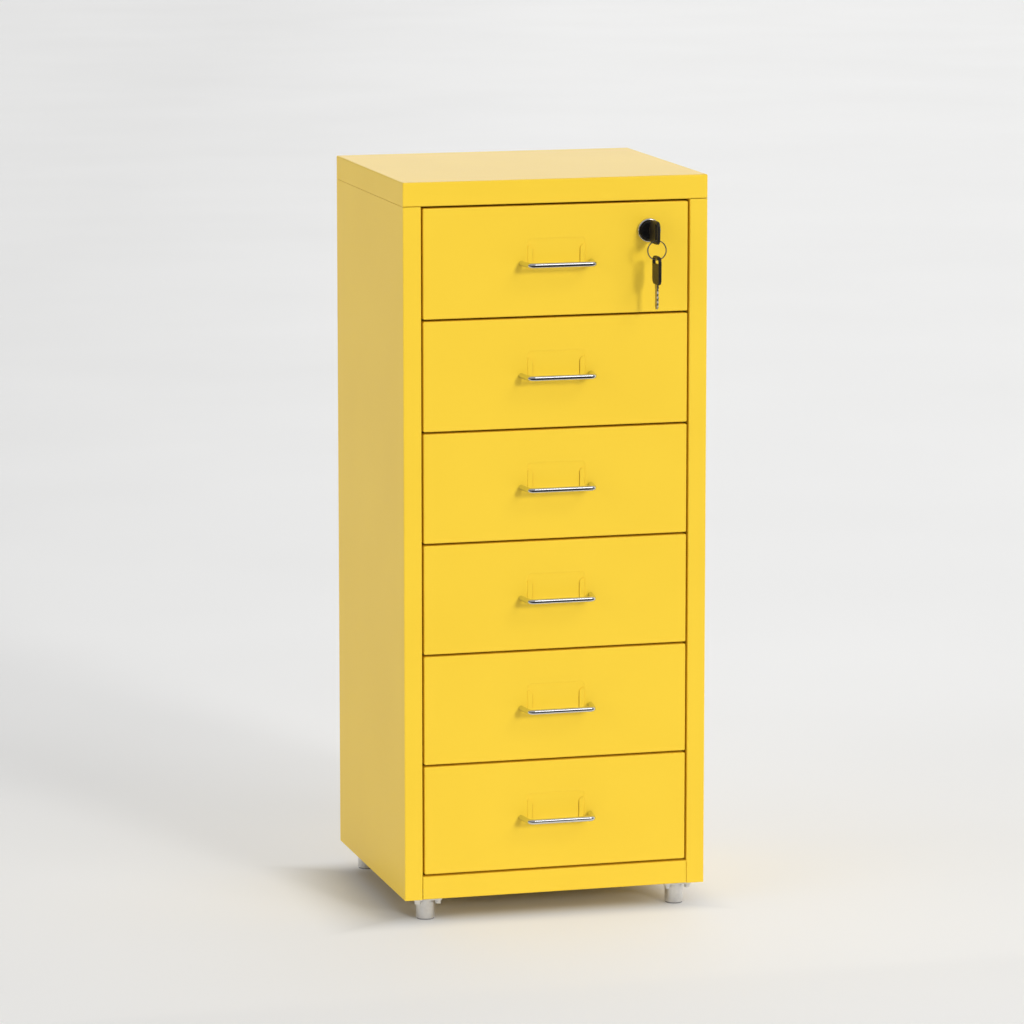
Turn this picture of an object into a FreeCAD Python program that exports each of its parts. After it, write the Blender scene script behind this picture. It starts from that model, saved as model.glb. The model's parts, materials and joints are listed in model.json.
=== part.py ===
import FreeCAD, Part
import math
import os

# A small steel cabinet with six drawers, a lock in the top drawer and four short feet.
# All lengths are millimetres and all angles degrees. +X is to the right, seen from the front,
# +Y runs from the front to the back and +Z is up. The origin is on the floor, halfway across
# the cabinet and halfway between its foremost and rearmost points.

# Outside of the cabinet
body_width = 280.0
body_depth = 250.0
body_height = 646.0
foot_height = 21.0
sheet = 0.8
bend = 0.4
seam = 0.3
overrun = 5.0
same_place = 0.04
soft_edge_share = 0.33
full_turn = 360.0
quarter_turn = 90.0
hexagon_sides = 6

# Top panel, a shallow lid whose front skirt is the top rail
skirt_height = 21.4
skirt_return = 12.0

# Side panels, each with its front stile, rear flange and foot flange
stile_width = 16.5
stile_return = 12.0
rear_flange = 13.0
foot_flange = 7.0
tongue_height = 15.0
tongue_gap = 0.2

# Bottom panel with the front rail, and back panel
rail_height = 21.0
rail_return = 10.0
rear_upstand = 15.0
panel_gap = 0.2

# Screws of the back panel
back_screw_rows = 4
back_screw_inset = 6.5
back_screw_end = 40.0
back_screw_radius = 1.5
back_screw_length = 6.0
back_head_radius = 3.4
back_head_height = 2.0
cross_width = 0.9
cross_length = 3.8
cross_depth = 1.1
screw_gap = 0.1

# Feet, their plates, pads, screws and nuts
foot_radius = 8.5
front_foot_inset_x = 23.0
front_foot_inset_y = 17.0
rear_foot_inset_x = 19.0
rear_foot_inset_y = 29.0
foot_edge = 0.6
pad_radius = 7.8
pad_height = 1.2
plate_size = 26.4
plate_thickness = 1.8
plate_corner = 3.0
plate_screw_reach = 9.5
plate_screw_radius = 1.5
plate_screw_length = 6.0
hex_flange_radius = 3.3
hex_flange_height = 0.8
hex_width = 5.0
hex_height = 2.8
stud_radius = 3.0
nut_width = 10.0
nut_height = 4.0

# Drawers
drawer_count = 6
drawer_gap = 2.0
side_gap = 1.8
drawer_sheet = 0.7
front_depth = 14.0
front_return = 8.0
front_corner = 1.3
tray_side_gap = 2.0
tray_floor_rise = 3.0
tray_drop = 17.0
tray_length = 224.0
hem_height = 6.0
stop_tab_width = 5.5
stop_tab_drop = 4.0
stop_tab_inset = 8.0

# Runners, six folded angles on each side
runner_sheet = 1.0
runner_reach = 24.2
runner_leg = 14.0
runner_front_gap = 1.0
runner_back_gap = 14.0
runner_stop_setback = 20.0
runner_stop_drop = 5.0
runner_stop_overlap = 3.0
slide_gap = 0.3

# Handle, a bent wire with slightly splayed legs, screwed on from inside the front
handle_radius = 2.4
handle_spacing = 64.5
handle_bar = 59.0
handle_reach = 21.0
handle_bend = 4.2
handle_below_middle = 1.8
handle_screw_radius = 1.5
handle_screw_depth = 4.5
handle_head_radius = 2.7
handle_head_height = 2.0

# Card holder pressed into each front above the handle
card_width = 54.4
card_top = 22.3
card_bottom = 6.6
card_depth = 0.4
card_slope = 1.4
card_wall = 0.6
card_corner = 4.0
flap_slit = 43.8
flap_top = 15.6
flap_sheet = 0.6
flap_proud = 0.5
flap_side = 0.5
flap_corner = 3.5
flap_slit_width = 0.35

# Lock in the top drawer
lock_from_right = 36.5
lock_from_top = 24.8
bezel_radius = 10.7
bezel_height = 3.2
bezel_round = 1.4
bezel_mouth_radius = 8.1
barrel_radius = 8.0
barrel_length = 17.5
barrel_bore = 6.05
plug_radius = 6.0
plug_face_radius = 7.9
plug_face_height = 2.6
plug_proud = 0.6
plug_face_round = 0.5
plug_gap = 0.3
lock_nut_radius = 11.0
lock_nut_height = 2.5
cam_width = 10.0
cam_reach = 20.0
cam_sheet = 2.0
cam_gap = 0.3
drive_size = 6.0
drive_gap = 0.05
cam_screw_radius = 1.5
cam_screw_depth = 1.6
cam_head_radius = 4.0
cam_head_height = 2.0
strike_width = 9.0
strike_gap = 0.8
strike_foot = 8.0
strike_above_lock = 10.5
lock_notch_gap = 1.5

# Keys and their ring
key_blade_width = 6.5
key_blade_thickness = 1.6
key_blade_length = 22.0
key_tang_length = 6.0
key_tip = 2.6
key_cut_depth = 0.7
key_cut_count = 4
key_shank_free = 2.4
keyway_gap = 0.08
key_head_length = 25.5
key_head_width = 20.6
key_head_thickness = 2.9
key_head_corner = 5.5
key_head_edge = 0.85
ring_slot_length = 15.6
ring_slot_width = 4.4
ring_slot_corner = 1.2
ring_slot_end = 2.6
ring_wire_radius = 0.5
ring_inner_radius = 8.0
ring_seat_gap = 0.4
ring_side_gap = 0.4

# Travel of the moving pieces
lock_turn_angle = quarter_turn
key_pull_gap = 0.5
spare_swing_in = 28.0
spare_swing_out = 70.0

# Places that follow from the sizes above
V = FreeCAD.Vector
fold = bend + sheet
half_width = body_width / 2
panel_half = half_width - sheet - bend - panel_gap
plug_face_reach = bezel_height + plug_proud
key_shoulder = plug_face_reach + key_shank_free
key_end = key_shoulder + key_head_length
ring_reach = key_end - ring_slot_end - ring_slot_width + ring_wire_radius + ring_side_gap
front_reach = max(key_end, ring_reach + key_head_width / 2)
back_reach = back_head_height
front_y = -(body_depth + front_reach + back_reach) / 2 + front_reach
back_y = front_y + body_depth
bottom_z = foot_height
top_z = bottom_z + body_height
skirt_z = top_z - skirt_height
side_top_z = skirt_z - seam
rail_z = bottom_z + rail_height
opening_height = skirt_z - rail_z
front_height = (opening_height - (drawer_count + 1) * drawer_gap) / drawer_count
drawer_pitch = front_height + drawer_gap
front_half = half_width - stile_width - side_gap
tray_half = half_width - stile_width - tray_side_gap
tray_front_y = front_y + front_depth
tray_back_y = tray_front_y + tray_length
tray_height = front_height - tray_floor_rise - tray_drop
runner_inner = half_width - sheet - runner_reach
lock_x = front_half - lock_from_right
lock_z = skirt_z - drawer_gap - lock_from_top
front_foot_x = half_width - front_foot_inset_x
front_foot_y = front_y + front_foot_inset_y
rear_foot_x = half_width - rear_foot_inset_x
rear_foot_y = back_y - rear_foot_inset_y
plate_bottom_z = bottom_z - plate_thickness
stop_tab_y = tray_back_y - stop_tab_inset
runner_stop_y = front_y + runner_stop_setback
drawer_travel = stop_tab_y - runner_stop_y - runner_sheet - slide_gap
key_pull_travel = key_blade_length - key_shank_free + key_pull_gap


def drawer_bottom(number):
    """Lower edge of a drawer's front; drawer 1 is the top one."""
    return skirt_z - number * drawer_pitch


def handle_height(number):
    """Height of a drawer's handle."""
    return drawer_bottom(number) + front_height / 2 - handle_below_middle


def box(x0, x1, y0, y1, z0, z1):
    """A block between two corners, given as pairs along X, Y and Z."""
    return Part.makeBox(x1 - x0, y1 - y0, z1 - z0, V(x0, y0, z0))


def rod(radius, start, end):
    """A round bar between two points."""
    run = end - start
    return Part.makeCylinder(radius, run.Length, start, run)


def mirrored(shape):
    """The same shape on the other side of the cabinet."""
    return shape.mirror(V(0, 0, 0), V(1, 0, 0))


def joined(shapes):
    """One solid from pieces that touch or overlap."""
    whole = shapes[0].fuse(shapes[1:])
    return whole.removeSplitter()


def rounded(shape, radius, chosen):
    """The shape with a fillet on every edge whose middle passes the test."""
    edges = [edge for edge in shape.Edges if chosen(edge.CenterOfMass)]
    return shape.makeFillet(radius, edges)


def near(value, target):
    """True where two coordinates are the same place."""
    return abs(value - target) < same_place


def step_along(point, direction, distance):
    """A flat point moved along a flat direction."""
    return (point[0] + direction[0] * distance, point[1] + direction[1] * distance)


def bent_line(points, radius, offset):
    """A line through flat points with round bends, moved sideways by an offset.

    Straight runs come back as two points and bends as three.
    """
    runs = []
    for start, end in zip(points, points[1:]):
        length = math.hypot(end[0] - start[0], end[1] - start[1])
        runs.append(((end[0] - start[0]) / length, (end[1] - start[1]) / length))
    lefts = [(-run[1], run[0]) for run in runs]
    segments = []
    cursor = step_along(points[0], lefts[0], offset)
    for index, corner in enumerate(points[1:-1]):
        before, after = runs[index], runs[index + 1]
        cross = before[0] * after[1] - before[1] * after[0]
        dot = before[0] * after[0] + before[1] * after[1]
        side = math.copysign(1, cross)
        setback = radius * math.tan(abs(math.atan2(cross, dot)) / 2)
        tangent_in = step_along(corner, before, -setback)
        tangent_out = step_along(corner, after, setback)
        centre = step_along(tangent_in, lefts[index], side * radius)
        away = math.hypot(corner[0] - centre[0], corner[1] - centre[1])
        outward = ((corner[0] - centre[0]) / away, (corner[1] - centre[1]) / away)
        arc_start = step_along(tangent_in, lefts[index], offset)
        arc_middle = step_along(centre, outward, radius - side * offset)
        arc_end = step_along(tangent_out, lefts[index + 1], offset)
        segments.append((cursor, arc_start))
        segments.append((arc_start, arc_middle, arc_end))
        cursor = arc_end
    segments.append((cursor, step_along(points[-1], lefts[-1], offset)))
    return segments


def folded_sheet(points, thickness, place, along):
    """Sheet metal folded along the middle line through flat points, extruded along a vector."""
    middle_radius = bend + thickness / 2
    one_side = bent_line(points, middle_radius, thickness / 2)
    other_side = bent_line(points, middle_radius, -thickness / 2)
    ends = [(one_side[0][0], other_side[0][0]), (one_side[-1][-1], other_side[-1][-1])]
    edges = []
    for segment in one_side + other_side + ends:
        spots = [place(*point) for point in segment]
        if len(spots) == 3:
            edges.append(Part.Arc(*spots).toShape())
        else:
            edges.append(Part.makeLine(*spots))
    outline = Part.Wire(Part.__sortEdges__(edges))
    return Part.Face(outline).extrude(along)


def ring_of_profile(profile, centre):
    """A solid turned about an axis along Y from points given as radius and depth."""
    spots = [V(centre.x + radius, centre.y + depth, centre.z) for radius, depth in profile]
    outline = Part.makePolygon(spots + [spots[0]])
    return Part.Face(outline).revolve(centre, V(0, 1, 0), full_turn)


def hexagon(width, height, base):
    """A hexagonal prism standing up from a base point, with a width across its flats."""
    corner = width / math.sqrt(3)
    spots = []
    for corner_number in range(hexagon_sides + 1):
        angle = math.radians(full_turn * corner_number / hexagon_sides)
        spots.append(base + V(corner * math.cos(angle), corner * math.sin(angle), 0))
    return Part.Face(Part.makePolygon(spots)).extrude(V(0, 0, height))


def plan(x, y):
    """A flat point seen from above, at the bottom of the cabinet."""
    return V(x, y, bottom_z)


def side_panel():
    """Left side with its front stile, rear flange, foot flange and the tongue under the lid."""
    middle = sheet / 2
    outline = [
        (-half_width + rear_flange, back_y - middle),
        (-half_width + middle, back_y - middle),
        (-half_width + middle, front_y + middle),
        (-half_width + stile_width - middle, front_y + middle),
        (-half_width + stile_width - middle, front_y + stile_return),
    ]
    wall = folded_sheet(outline, sheet, plan, V(0, 0, side_top_z - bottom_z))
    inner_x = -half_width + sheet
    flange_front = front_y + stile_return + seam
    flange_back = back_y - 3 * sheet - bend - seam
    foot = box(inner_x - middle, -half_width + foot_flange, flange_front, flange_back,
               bottom_z + sheet, bottom_z + 2 * sheet)
    tongue_x = inner_x + tongue_gap
    shelf = box(inner_x - middle, tongue_x + sheet, flange_front, flange_back,
                side_top_z - sheet, side_top_z)
    tongue = box(tongue_x, tongue_x + sheet, flange_front, flange_back,
                 side_top_z - sheet, side_top_z + tongue_height)
    panel = joined([wall, foot, shelf, tongue])
    for spot in back_screw_spots():
        panel = panel.cut(screw_hole(spot))
    return panel


def back_screw_spots():
    """Where the back panel is screwed to the rear flanges."""
    span = body_height - skirt_height - 2 * back_screw_end
    spots = []
    for side in (-1, 1):
        for row in range(back_screw_rows):
            height = bottom_z + back_screw_end + span * row / (back_screw_rows - 1)
            spots.append(V(side * (half_width - back_screw_inset), back_y, height))
    return spots


def screw_hole(spot):
    """The clearance hole for one screw of the back panel."""
    start = spot + V(0, overrun, 0)
    return rod(back_screw_radius + screw_gap, start, spot - V(0, back_screw_length, 0))


def top_panel():
    """Lid with skirts all round and a return along the lower edge of the front skirt."""
    lid = box(-half_width, half_width, front_y, back_y, skirt_z, top_z)

    def outer_fold(middle):
        on_top = near(middle.z, top_z)
        upright = near(abs(middle.x), half_width) and not near(middle.z, skirt_z)
        front_low = near(middle.z, skirt_z) and near(middle.y, front_y)
        return on_top or upright or front_low

    lid = rounded(lid, fold, outer_fold)
    inner = half_width - sheet
    behind = box(-inner, inner, front_y + skirt_return, back_y - sheet,
                 skirt_z - overrun, top_z - sheet)
    above = box(-inner, inner, front_y + sheet, back_y - sheet, skirt_z + sheet, top_z - sheet)
    hollow = rounded(behind.fuse(above).removeSplitter(), bend,
                     lambda middle: near(middle.z, top_z - sheet))
    return lid.cut(hollow)


def back_panel():
    """Flat sheet between the rear flanges and the inside, up into the lid."""
    panel = box(-panel_half, panel_half, back_y - 2 * sheet, back_y - sheet,
                bottom_z, skirt_z + tongue_height)
    for spot in back_screw_spots():
        panel = panel.cut(screw_hole(spot))
    return panel


def back_screws():
    """Domed screws with a cross recess that hold the back panel."""
    screws = []
    for spot in back_screw_spots():
        shank = rod(back_screw_radius, spot, spot - V(0, back_screw_length, 0))
        head = rod(back_head_radius, spot, spot + V(0, back_head_height, 0))
        head = rounded(head, back_head_height / 2, lambda middle: middle.y > back_y + bend)
        slots = []
        for wide, high in ((cross_length, cross_width), (cross_width, cross_length)):
            slots.append(box(spot.x - wide / 2, spot.x + wide / 2,
                             spot.y + back_head_height - cross_depth, spot.y + overrun,
                             spot.z - high / 2, spot.z + high / 2))
        screws.append(head.fuse(shank).removeSplitter().cut(slots))
    return Part.makeCompound(screws)


def bottom_panel():
    """Floor of the cabinet, folded up into the front rail and a rear upstand."""
    middle = sheet / 2
    outline = [
        (front_y + rail_return, rail_z - middle),
        (front_y + middle, rail_z - middle),
        (front_y + middle, bottom_z + middle),
        (back_y - 2 * sheet - middle, bottom_z + middle),
        (back_y - 2 * sheet - middle, bottom_z + rear_upstand),
    ]

    def section(y, z):
        return V(-panel_half, y, z)

    panel = folded_sheet(outline, sheet, section, V(2 * panel_half, 0, 0))
    rail_half = half_width - stile_width - seam
    behind_return = front_y + stile_return + seam
    right_cuts = [
        box(rail_half, half_width, front_y - overrun, front_y + fold + seam,
            bottom_z - overrun, rail_z + overrun),
        box(rail_half, rail_half + sheet + 2 * seam, front_y - overrun, behind_return,
            bottom_z - overrun, rail_z + overrun),
        box(rail_half, half_width, front_y - overrun, behind_return,
            bottom_z + fold + seam, rail_z + overrun),
    ]
    right_notch = joined(right_cuts)
    panel = panel.cut([right_notch, mirrored(right_notch)])
    for x, y, name in foot_places():
        panel = panel.cut(rod(stud_radius + screw_gap, V(x, y, bottom_z - overrun),
                              V(x, y, bottom_z + overrun)))
        for spot in plate_screw_spots(x, y):
            panel = panel.cut(plate_screw_hole(spot))
    return panel


def foot_places():
    """The place and name of each foot."""
    return [
        (-front_foot_x, front_foot_y, "front_left"),
        (front_foot_x, front_foot_y, "front_right"),
        (-rear_foot_x, rear_foot_y, "rear_left"),
        (rear_foot_x, rear_foot_y, "rear_right"),
    ]


def plate_screw_spots(x, y):
    """Four screw places under one foot plate."""
    spots = []
    for side in (-1, 1):
        for end in (-1, 1):
            spots.append(V(x + side * plate_screw_reach, y + end * plate_screw_reach,
                           plate_bottom_z))
    return spots


def plate_screw_hole(spot):
    """The clearance hole for one screw of a foot plate."""
    start = spot - V(0, 0, overrun)
    return rod(plate_screw_radius + screw_gap, start, spot + V(0, 0, plate_screw_length))


def foot_plate(x, y):
    """Square plate with round corners between a foot and the bottom panel."""
    half = plate_size / 2
    plate = box(x - half, x + half, y - half, y + half, plate_bottom_z, bottom_z)
    plate = rounded(plate, plate_corner,
                    lambda middle: near(abs(middle.x - x), half) and near(abs(middle.y - y), half))
    plate = plate.cut(rod(stud_radius + screw_gap, V(x, y, plate_bottom_z - overrun),
                          V(x, y, bottom_z + overrun)))
    for spot in plate_screw_spots(x, y):
        plate = plate.cut(plate_screw_hole(spot))
    return plate


def foot(x, y):
    """Round metal foot with a stud up through its plate and the bottom panel."""
    post = rod(foot_radius, V(x, y, pad_height), V(x, y, plate_bottom_z))
    post = rounded(post, foot_edge, lambda middle: near(middle.z, pad_height))
    stud = rod(stud_radius, V(x, y, plate_bottom_z - foot_edge),
               V(x, y, bottom_z + sheet + nut_height + foot_edge))
    return joined([post, stud])


def foot_pad(x, y):
    """Plastic disc under a foot."""
    disc = rod(pad_radius, V(x, y, 0), V(x, y, pad_height))
    return rounded(disc, pad_height * soft_edge_share, lambda middle: near(middle.z, 0))


def foot_nuts():
    """Hexagon nuts inside the cabinet, one on each foot's stud."""
    nuts = []
    for x, y, name in foot_places():
        nut = hexagon(nut_width, nut_height, V(x, y, bottom_z + sheet))
        nuts.append(nut.cut(rod(stud_radius, V(x, y, bottom_z), V(x, y, bottom_z + overrun * 2))))
    return Part.makeCompound(nuts)


def foot_screws():
    """Flanged hexagon screws that hold the four plates."""
    screws = []
    for x, y, name in foot_places():
        for spot in plate_screw_spots(x, y):
            flange = rod(hex_flange_radius, spot, spot - V(0, 0, hex_flange_height))
            head = hexagon(hex_width, hex_height, spot - V(0, 0, hex_flange_height + hex_height))
            shank = rod(plate_screw_radius, spot, spot + V(0, 0, plate_screw_length))
            screws.append(joined([head, flange, shank]))
    return Part.makeCompound(screws)


def runner(number):
    """Left runner of one drawer, with the stop tab bent down at its front end."""
    top = drawer_bottom(number) + tray_floor_rise - slide_gap
    middle = runner_sheet / 2
    start_y = front_y + front_depth + runner_front_gap
    end_y = back_y - runner_back_gap
    wall_x = -half_width + sheet + middle
    edge_x = -runner_inner
    outline = [(wall_x, top - runner_leg), (wall_x, top - middle), (edge_x, top - middle)]

    def section(x, z):
        return V(x, start_y, z)

    angle = folded_sheet(outline, runner_sheet, section, V(0, end_y - start_y, 0))
    stop = box(edge_x - runner_stop_overlap, edge_x + stop_tab_width, runner_stop_y,
               runner_stop_y + runner_sheet, top - runner_sheet - runner_stop_drop, top - middle)
    return joined([angle, stop])


def left_runners():
    """The six runners on the left side panel."""
    return Part.makeCompound([runner(number) for number in range(1, drawer_count + 1)])


def strike():
    """Angle under the lid that the lock's cam turns up behind."""
    middle = sheet / 2
    tab_y = front_y + front_depth + strike_gap + middle
    foot_z = skirt_z + sheet + middle
    outline = [
        (tab_y - strike_foot, foot_z),
        (tab_y, foot_z),
        (tab_y, lock_z + strike_above_lock),
    ]

    def section(y, z):
        return V(lock_x - strike_width / 2, y, z)

    return folded_sheet(outline, sheet, section, V(strike_width, 0, 0))


def card_plate(height, margin, y0, y1):
    """Rounded rectangle for the pressed card area, grown by a margin."""
    reach = card_width / 2 + margin
    low, high = height - card_bottom - margin, height + card_top + margin
    plate = box(-reach, reach, y0, y1, low, high)
    return rounded(plate, card_corner + margin,
                   lambda middle: near(abs(middle.x), reach)
                   and (near(middle.z, low) or near(middle.z, high)))


def card_recess(height):
    """Shallow pressed recess whose walls slope out to the face."""
    mouth = card_plate(height, 0, front_y - card_depth, front_y + card_depth)
    return mouth.makeChamfer(card_depth, card_slope,
                             [edge for edge in mouth.Edges
                              if near(edge.CenterOfMass.y, front_y + card_depth)])


def card_slit(height):
    """Slit through the recess along the left flap's free edge."""
    left = -flap_slit / 2
    low, high = height - card_bottom + card_corner / 2, height + flap_top - flap_corner
    return box(left, left + flap_slit_width, front_y, front_y + overrun, low, high)


def card_flap(height):
    """Left flap that holds a card's edge, open towards the middle and closed at its foot."""
    middle = flap_sheet / 2
    slit_x = -flap_slit / 2
    outer_x = -card_width / 2 + flap_side + middle
    face_y = front_y - flap_proud + middle
    floor_y = front_y + card_depth + middle
    low, high = height - card_bottom + card_corner / 2, height + flap_top
    outline = [(slit_x, face_y), (outer_x, face_y), (outer_x, floor_y)]

    def section(x, y):
        return V(x, y, low)

    flap = folded_sheet(outline, flap_sheet, section, V(0, 0, high - low))
    flap = rounded(flap, flap_corner,
                   lambda spot: near(spot.x, slit_x) and near(spot.z, high))
    foot_wall = box(outer_x, slit_x, face_y, floor_y, low, low + flap_sheet)
    return joined([flap, foot_wall])


def drawer_front(number):
    """Folded front with its card holder, handle holes and, on drawer 1, the lock hole."""
    low = drawer_bottom(number)
    high = low + front_height
    rear = front_y + front_depth
    pan = box(-front_half, front_half, front_y, rear, low, high)
    pan = rounded(pan, front_corner, lambda middle: middle.y < rear - bend)
    inner = front_half - drawer_sheet
    pan = pan.cut(box(-inner, inner, front_y + drawer_sheet, rear + overrun,
                      low + drawer_sheet, high - drawer_sheet))
    height = handle_height(number)
    pieces = [pan, card_plate(height, card_wall - card_slope, front_y + drawer_sheet / 2,
                              front_y + drawer_sheet + card_depth)]
    for side in (-1, 1):
        outer_x, inner_x = side * (inner + drawer_sheet / 2), side * (inner - front_return)
        pieces.append(box(min(outer_x, inner_x), max(outer_x, inner_x),
                          rear - drawer_sheet, rear, low + 2 * drawer_sheet,
                          high - 2 * drawer_sheet))
    front = joined(pieces).cut(card_recess(height))
    slit = card_slit(height)
    front = front.cut([slit, mirrored(slit)])
    flap = card_flap(height)
    front = joined([front, flap, mirrored(flap)])
    for side in (-1, 1):
        spot = V(side * handle_spacing / 2, front_y, height)
        front = front.cut(rod(handle_screw_radius + screw_gap, spot - V(0, overrun, 0),
                              spot + V(0, overrun, 0)))
    if number == 1:
        spot = V(lock_x, front_y, lock_z)
        front = front.cut(rod(barrel_radius + screw_gap, spot - V(0, overrun, 0),
                              spot + V(0, overrun, 0)))
    return front


def drawer_tray(number):
    """Folded tray with hemmed edges and two stop tabs under its back end."""
    floor_z = drawer_bottom(number) + tray_floor_rise
    rim_z = floor_z + tray_height
    middle = drawer_sheet / 2
    outline = [
        (-tray_half + middle, rim_z),
        (-tray_half + middle, floor_z + middle),
        (tray_half - middle, floor_z + middle),
        (tray_half - middle, rim_z),
    ]

    def section(x, z):
        return V(x, tray_front_y, z)

    channel = folded_sheet(outline, drawer_sheet, section, V(0, tray_length, 0))
    inner = tray_half - middle
    pieces = [channel]
    for y0 in (tray_front_y, tray_back_y - drawer_sheet):
        pieces.append(box(-inner, inner, y0, y0 + drawer_sheet, floor_z + middle, rim_z))
    hem_z = rim_z - hem_height
    hem_front = tray_front_y + middle
    hem_back = tray_back_y - middle
    for side in (-1, 1):
        wall_x, hem_x = side * inner, side * (tray_half - 2 * drawer_sheet)
        pieces.append(box(min(wall_x, hem_x), max(wall_x, hem_x), hem_front, hem_back,
                          hem_z, rim_z))
    pieces.append(box(-inner, inner, hem_front, tray_front_y + 2 * drawer_sheet, hem_z, rim_z))
    pieces.append(box(-inner, inner, tray_back_y - 2 * drawer_sheet, hem_back, hem_z, rim_z))
    for side in (-1, 1):
        outer_x, inner_x = side * (runner_inner - slide_gap), side * (runner_inner - stop_tab_width)
        pieces.append(box(min(outer_x, inner_x), max(outer_x, inner_x),
                          stop_tab_y, stop_tab_y + drawer_sheet,
                          floor_z - stop_tab_drop, floor_z + middle))
    tray = joined(pieces)
    if number == 1:
        reach = barrel_radius + lock_notch_gap
        low = lock_z - reach
        notch = box(lock_x - reach, lock_x + reach, tray_front_y - overrun,
                    tray_front_y + 2 * drawer_sheet, low, rim_z + overrun)
        notch = rounded(notch, reach / 2, lambda middle: near(middle.z, low)
                        and near(abs(middle.x - lock_x), reach))
        tray = tray.cut(notch)
    return tray


def handle(number):
    """Bent wire handle whose legs stand on the front and are tapped for screws."""
    height = handle_height(number)
    root, corner = handle_spacing / 2, handle_bar / 2
    splay = (root - corner) / handle_reach
    end_x, end_y = root + overrun * splay, front_y + overrun
    bar_y = front_y - handle_reach
    outline = [(-end_x, end_y), (-corner, bar_y), (corner, bar_y), (end_x, end_y)]
    edges = []
    for segment in bent_line(outline, handle_bend, 0):
        spots = [V(x, y, height) for x, y in segment]
        if len(spots) == 3:
            edges.append(Part.Arc(*spots).toShape())
        else:
            edges.append(Part.makeLine(*spots))
    section = Part.Wire([Part.makeCircle(handle_radius, V(-end_x, end_y, height),
                                         V(-splay, 1, 0))])
    wire = Part.Wire(edges).makePipeShell([section], True, False)
    wire = wire.cut(box(-end_x - overrun, end_x + overrun, front_y, end_y + overrun,
                        height - overrun, height + overrun))
    for side in (-1, 1):
        foot_spot = V(side * root, front_y, height)
        wire = wire.cut(rod(handle_screw_radius, foot_spot + V(0, overrun, 0),
                            foot_spot - V(0, handle_screw_depth, 0)))
    return wire


def handle_screws(number):
    """The two screws that hold a handle from inside the front."""
    screws = []
    for side in (-1, 1):
        seat = V(side * handle_spacing / 2, front_y + drawer_sheet, handle_height(number))
        head = rod(handle_head_radius, seat, seat + V(0, handle_head_height, 0))
        head = rounded(head, handle_head_height * soft_edge_share,
                       lambda middle: near(middle.y, seat.y + handle_head_height))
        shank = rod(handle_screw_radius, seat,
                    seat - V(0, drawer_sheet + handle_screw_depth - screw_gap, 0))
        screws.append(joined([head, shank]))
    return Part.makeCompound(screws)


def lock_place():
    """Centre of the lock on the outer face of the top drawer."""
    return V(lock_x, front_y, lock_z)


def lock_barrel():
    """Turned housing with its bezel outside and its body through the drawer front."""
    mouth_floor = -bezel_height + plug_face_height - plug_proud + plug_gap
    profile = [
        (barrel_bore, mouth_floor),
        (bezel_mouth_radius, mouth_floor),
        (bezel_mouth_radius, -bezel_height),
        (bezel_radius, -bezel_height),
        (bezel_radius, 0),
        (barrel_radius, 0),
        (barrel_radius, barrel_length),
        (barrel_bore, barrel_length),
    ]
    barrel = ring_of_profile(profile, lock_place())

    def bezel_rim(middle):
        return near(middle.y, front_y - bezel_height)

    outer = [edge for edge in barrel.Edges if bezel_rim(edge.BoundBox.Center)
             and near(edge.BoundBox.XLength, 2 * bezel_radius)]
    return barrel.makeFillet(bezel_round, outer)


def lock_nut():
    """Flat ring nut that clamps the housing behind the front."""
    profile = [
        (barrel_radius, drawer_sheet),
        (lock_nut_radius, drawer_sheet),
        (lock_nut_radius, drawer_sheet + lock_nut_height),
        (barrel_radius, drawer_sheet + lock_nut_height),
    ]
    return ring_of_profile(profile, lock_place())


def lock_plug():
    """Turning plug with its keyway, face disc and square drive for the cam."""
    face = -plug_face_reach
    place = lock_place()
    disc = rod(plug_face_radius, place + V(0, face, 0), place + V(0, face + plug_face_height, 0))
    disc = rounded(disc, plug_face_round, lambda middle: near(middle.y, place.y + face))
    shaft = rod(plug_radius, place + V(0, face + plug_face_height / 2, 0),
                place + V(0, barrel_length + cam_gap, 0))
    half = drive_size / 2
    drive = box(lock_x - half, lock_x + half, front_y + barrel_length,
                front_y + barrel_length + cam_gap + cam_sheet, lock_z - half, lock_z + half)
    plug = joined([disc, shaft, drive])
    wide = key_blade_width / 2 + keyway_gap
    thin = key_blade_thickness / 2 + keyway_gap
    depth = key_blade_length - key_shank_free + key_pull_gap
    keyway = box(lock_x - thin, lock_x + thin, front_y + face - overrun, front_y + face + depth,
                 lock_z - wide, lock_z + wide)
    end = place + V(0, barrel_length + cam_gap + cam_sheet, 0)
    screw_bore = rod(cam_screw_radius, end + V(0, overrun, 0), end - V(0, cam_screw_depth, 0))
    return plug.cut([keyway, screw_bore])


def lock_cam():
    """Flat cam that points to the left while the drawer is unlocked."""
    y0 = front_y + barrel_length + cam_gap
    half = cam_width / 2
    round_end = rod(half, V(lock_x, y0, lock_z), V(lock_x, y0 + cam_sheet, lock_z))
    arm = box(lock_x - cam_reach, lock_x, y0, y0 + cam_sheet, lock_z - half, lock_z + half)
    arm = rounded(arm, half / 2, lambda middle: near(middle.x, lock_x - cam_reach)
                  and near(abs(middle.z - lock_z), half))
    hole = drive_size / 2 + drive_gap
    square = box(lock_x - hole, lock_x + hole, y0 - overrun, y0 + overrun,
                 lock_z - hole, lock_z + hole)
    return joined([round_end, arm]).cut(square)


def cam_screw():
    """Screw that holds the cam on the plug."""
    seat = lock_place() + V(0, barrel_length + cam_gap + cam_sheet, 0)
    head = rod(cam_head_radius, seat, seat + V(0, cam_head_height, 0))
    head = rounded(head, cam_head_height * soft_edge_share,
                   lambda middle: near(middle.y, seat.y + cam_head_height))
    shank = rod(cam_screw_radius, seat, seat - V(0, cam_screw_depth - screw_gap, 0))
    return joined([head, shank])


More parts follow.
